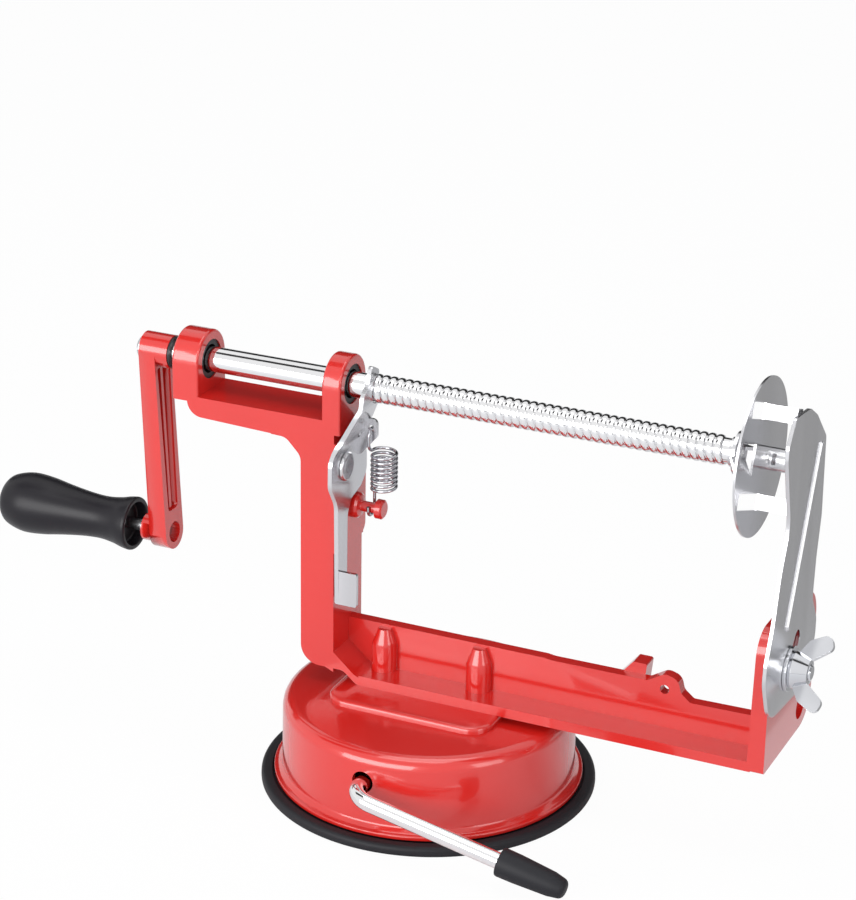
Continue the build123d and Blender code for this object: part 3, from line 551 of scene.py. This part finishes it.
bm = bmesh.new()
rod_inner = Vector((ROD_X, 12.9, ROD_Z))
draw_out(bm, [rod_inner, *rounded_corner(rod_inner, rod_corner, rod_end, ROD_BEND_R, 14), rod_end - rod_out * 0.1],
         ROD_R - 0.01, 32)
spin_profile(bm, [(-5.6, 0), (-5.6, 4.5), (5.6, 4.5), (5.6, 0)], (0, 1, 0), (ROD_X, 0, ROD_Z - 1.6), 32)
add_piece("suction_rod", bm, "suction_lever")

# %% The rubber sleeve
bm = bmesh.new()
spin_profile(bm, with_corners_rounded([(1.6, 0), (1.6, 3.4, 2.2), (-4.0, 4.5), (-17.0, 5.2), (-23.0, 5.3, 0.5),
                                       (-23.8, 5.1, 0.4), (-23.8, 3.1, 0.2), (-21.2, 3.05)]),
             rod_out, rod_end, 48)
add_piece("rubber_sleeve", bm, "suction_lever_tip")

# %% [markdown]
# ## The grip
#
# The grip is moulded plastic that turns on a pin: a bulb, a waist and a flared collar
# that is hollow at its end. Its outline is drawn by a few radii and a smooth curve
# through them, then spun.

# %% The grip
CRANK_REACH = 72.7
GRIP_END_X = -180.7
GRIP_Z = SHAFT_Z - CRANK_REACH
GRIP_SHAPE = [(GRIP_END_X, 5.8), (-179.6, 8.0), (-176.8, 10.1), (-170.4, 11.65), (-162.5, 11.2), (-154.0, 9.8),
              (-145.0, 8.6), (-137.5, 8.2), (-131.5, 8.9), (-127.4, 9.9), (-124.9, 10.3)]


def smooth_through(points, steps=5):
    """Points of a Catmull-Rom curve through the given points."""
    points = [Vector(p) for p in points]
    points = [points[0] * 2 - points[1], *points, points[-1] * 2 - points[-2]]
    curve = []
    for a, b, c, d in zip(points, points[1:], points[2:], points[3:]):
        for step in range(steps):
            t = step / steps
            curve.append(0.5 * (2 * b + (c - a) * t + (2 * a - 5 * b + 4 * c - d) * t ** 2
                                + (3 * b - a - 3 * c + d) * t ** 3))
    return curve + [points[-2]]


bm = bmesh.new()
spin_profile(bm, [(GRIP_END_X, 2.6), *smooth_through(GRIP_SHAPE), *with_corners_rounded(
    [(-124.6, 10.32), (-123.7, 10.1, 0.5), (-123.7, 8.5, 0.4), (-128.0, 8.0, 0.8), (-128.6, 2.7)])],
    (1, 0, 0), (0, 0, GRIP_Z), 96)
add_piece("grip", bm, "handle_grip", 45)

# %% [markdown]
# ## The release lever's rivet and spring
#
# The rivet's head is a low dome with a dished middle. The spring is one wire: a hook
# round the cast stud, eight turns, and a hook through the lever's ear.

# %% The rivet
PIVOT = (-31.8, -6.5, 121.5)
bm = bmesh.new()
spin_profile(bm, with_corners_rounded([(-1.0, 2.9), (0.05, 2.9), (0.05, 5.5, 0.1), (1.2, 5.2, 0.8), (1.25, 3.8, 0.4),
                                       (0.75, 0)]), (1, 0, 0), PIVOT, 64)
spin_profile(bm, [(-12.2, 0), (-12.2, 3.0), (0.5, 3.0), (0.5, 0)], (1, 0, 0), PIVOT, 48)
add_piece("lever_rivet", bm, "release_lever_rivet")

# %% The spring
COIL_X, COIL_Y, COIL_Z, COIL_R = -22.0, 5.2, 110.1, 4.5
COIL_TURNS, COIL_PITCH, WIRE_R = 8, 1.82, 0.6
STUD_Y, STUD_Z = 4.0, 102.2
EAR_HOLE_Z, HOOK_R = 133.6, 2.8
wire_x = COIL_X - COIL_R


def arc(middle, radius, start, end, steps=8):
    """Points on an arc in the plane of the hooks; the angles are degrees from +Y towards +Z."""
    angles = [math.radians(start + (end - start) * step / steps) for step in range(steps + 1)]
    return [(wire_x, middle[0] + radius * math.cos(a), middle[1] + radius * math.sin(a)) for a in angles]


coil_top = COIL_Z + COIL_TURNS * COIL_PITCH
wire = [(wire_x, STUD_Y - HOOK_R, STUD_Z + 1.2)]
wire += arc((STUD_Y, STUD_Z), HOOK_R, 180, 360)
bend = STUD_Y + HOOK_R - COIL_Y
wire += arc((COIL_Y, COIL_Z - bend), bend, 0, 90, 5)[:-1]
for step in range(COIL_TURNS * 28 + 1):
    turn = math.pi + math.tau * step / 28
    wire.append((COIL_X + COIL_R * math.cos(turn), COIL_Y + COIL_R * math.sin(turn), COIL_Z + COIL_PITCH * step / 28))
rise = COIL_Y - (STUD_Y - HOOK_R)
wire += arc((COIL_Y, coil_top + rise), rise, 270, 180, 5)[1:]
wire += arc((STUD_Y, EAR_HOLE_Z - HOOK_R), HOOK_R, 180, 0)
wire.append((wire_x, STUD_Y + HOOK_R, EAR_HOLE_Z - HOOK_R - 1.1))
bm = bmesh.new()
draw_out(bm, wire, WIRE_R, 12)
add_piece("spring_wire", bm, "release_spring", 60)
